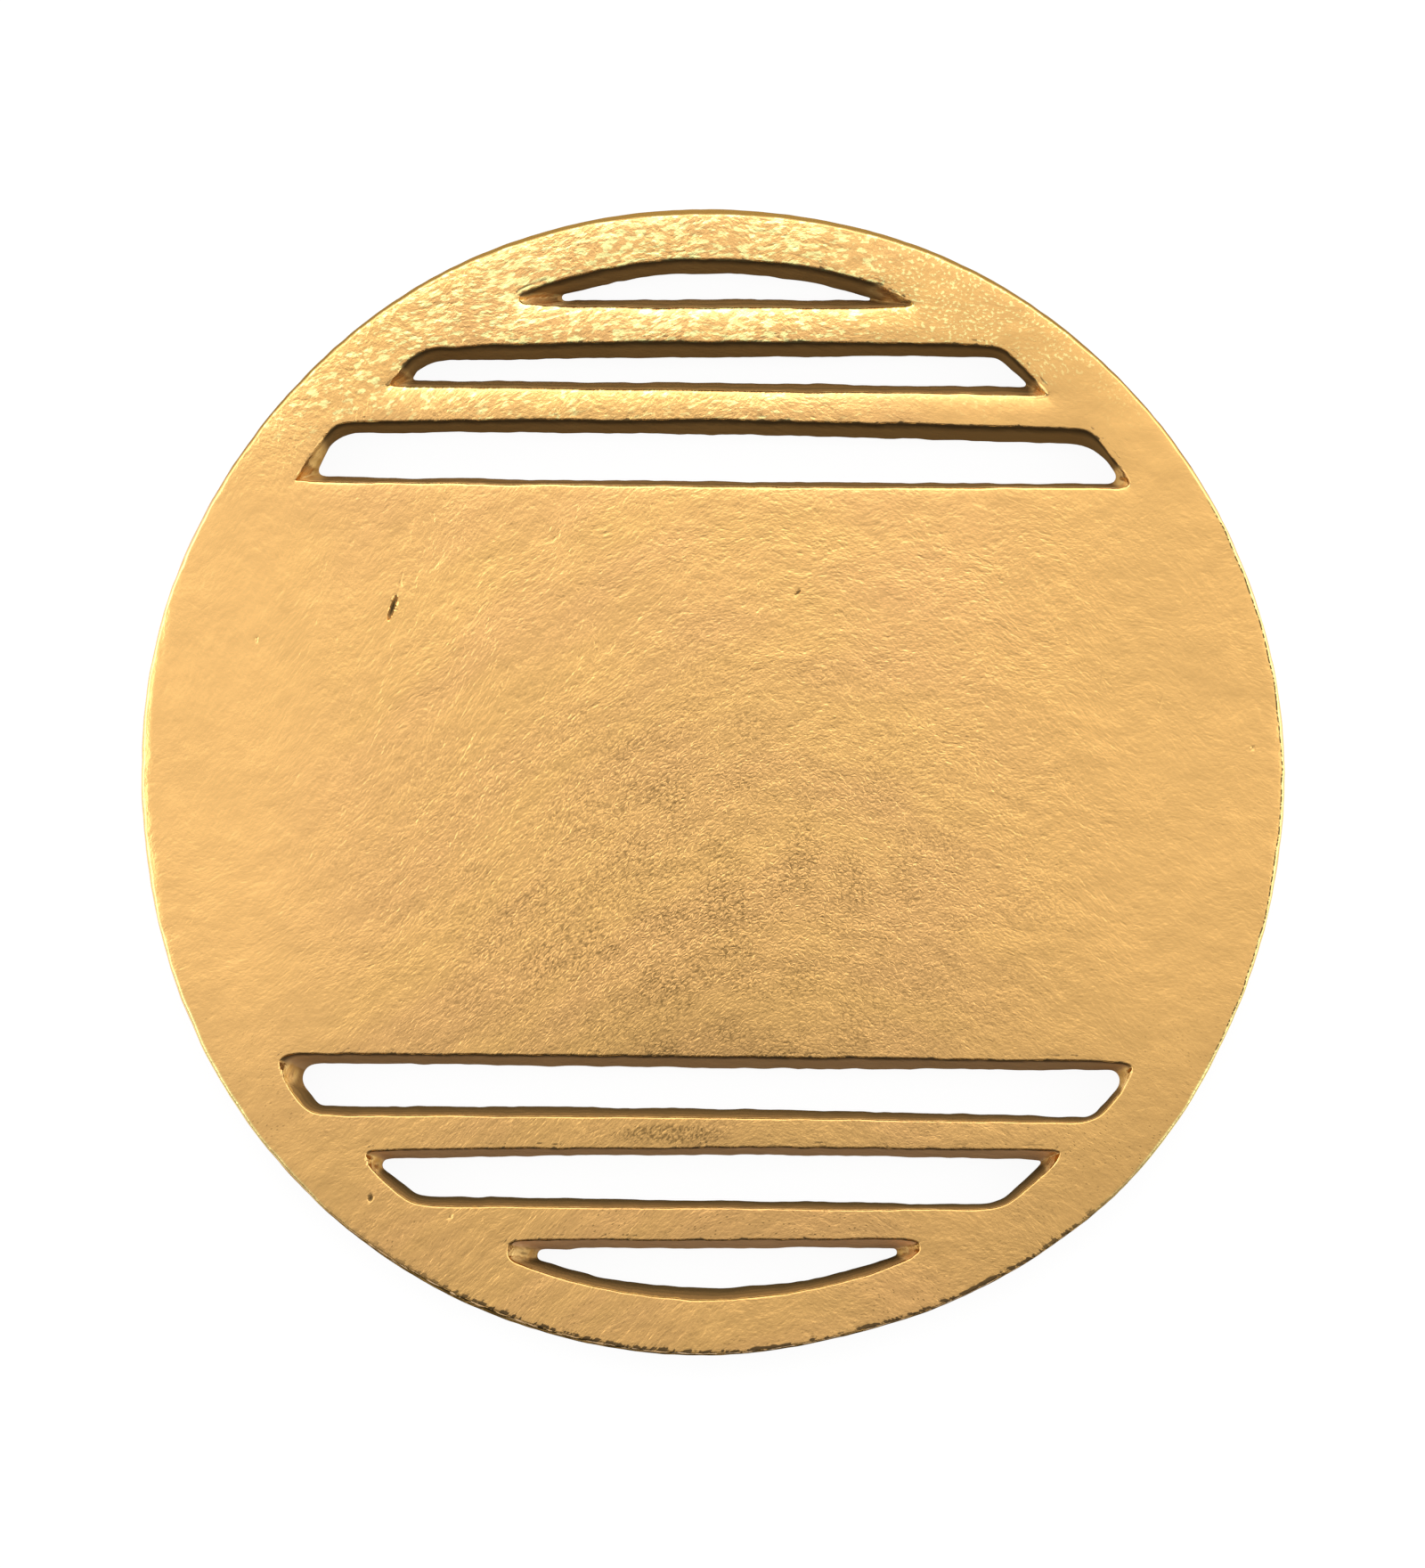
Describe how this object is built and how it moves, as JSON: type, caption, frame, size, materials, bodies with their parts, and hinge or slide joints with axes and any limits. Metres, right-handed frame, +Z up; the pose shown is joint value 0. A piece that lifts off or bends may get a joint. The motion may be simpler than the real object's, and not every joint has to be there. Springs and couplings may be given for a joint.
{
  "type": "round slotted trivet",
  "caption": "Round flat cast trivet with horizontal slots above and below a solid field, standing on screwed-on rubber feet.",
  "frame": {"origin": "under the plate's centre, on the surface that the feet stand on", "axes": "+Z up through the plate, +Y towards the upper group of slots, +X along the slots to the right"},
  "size_m": [0.203, 0.203, 0.013],
  "materials": {
    "gold_casting": "gold-coloured finish on an as-cast skin, wrinkled like fine leather",
    "foot_rubber": "matte moulded rubber",
    "washer_steel": "stamped and zinc plated",
    "screw_steel": "turned and zinc plated"
  },
  "bodies": {
    "root": {"cast_plate": "gold_casting", "foot_back_left": "foot_rubber", "foot_back_right": "foot_rubber", "foot_front_left": "foot_rubber", "foot_front_right": "foot_rubber", "washer_back_left": "washer_steel", "washer_back_right": "washer_steel", "washer_front_left": "washer_steel", "washer_front_right": "washer_steel", "screw_back_left": "screw_steel", "screw_back_right": "screw_steel", "screw_front_left": "screw_steel", "screw_front_right": "screw_steel"}
  },
  "joints": []
}
